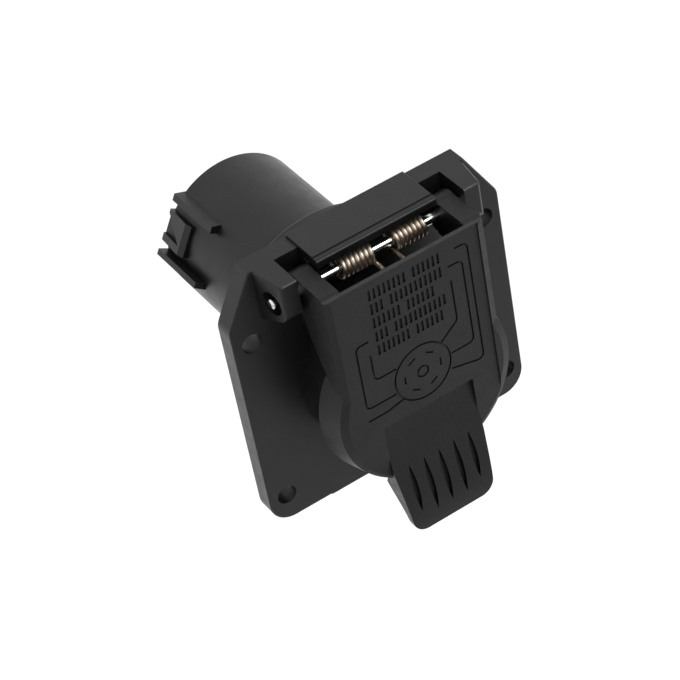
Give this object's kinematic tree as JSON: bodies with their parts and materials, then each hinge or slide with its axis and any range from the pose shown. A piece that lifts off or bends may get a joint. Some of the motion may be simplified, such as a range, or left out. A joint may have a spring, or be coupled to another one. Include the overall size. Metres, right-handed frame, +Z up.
{
  "type": "trailer wiring connector",
  "caption": "Flange-mounted round trailer light socket with a spring-closed lid, blade contacts and a rear latch barrel.",
  "frame": {"origin": "centre of the four mounting holes, on the back face of the flange", "axes": "+X to the right of the lid, +Y back along the barrel, +Z up towards the hinge; the lid faces -Y"},
  "size_m": [0.084, 0.1025, 0.0892],
  "materials": {
    "housing": "moulded black glass-filled nylon, satin",
    "lid_plastic": "moulded black nylon, fine spark texture",
    "insulator": "moulded black thermoplastic",
    "potting": "cast epoxy",
    "seal": "soft black rubber",
    "contact": "stamped brass",
    "pin_steel": "bright drawn steel",
    "spring_steel": "spring wire with a bronze tint"
  },
  "bodies": {
    "socket": {"front_housing": "housing", "rear_shell": "housing", "body_seal": "seal", "contact_carrier": "insulator", "potting_fill": "potting", "rear_insulator": "insulator", "contact_1_oclock": "contact", "contact_3_oclock": "contact", "contact_5_oclock": "contact", "contact_7_oclock": "contact", "contact_9_oclock": "contact", "contact_11_oclock": "contact", "centre_contact": "contact", "hinge_pin": "pin_steel", "lid_spring": "spring_steel"},
    "cover": {"lid": "lid_plastic", "lid_gasket": "seal"}
  },
  "joints": [
    {"name": "lid_hinge", "type": "hinge", "parent": "socket", "child": "cover", "pos_m": [0, -0.0122, 0.0415], "axis": [-1, 0, 0], "range_deg": [0, 95], "stiffness_Nm_per_rad": 0.12, "springref_deg": -57.3, "deforming": ["lid_spring"]}
  ]
}
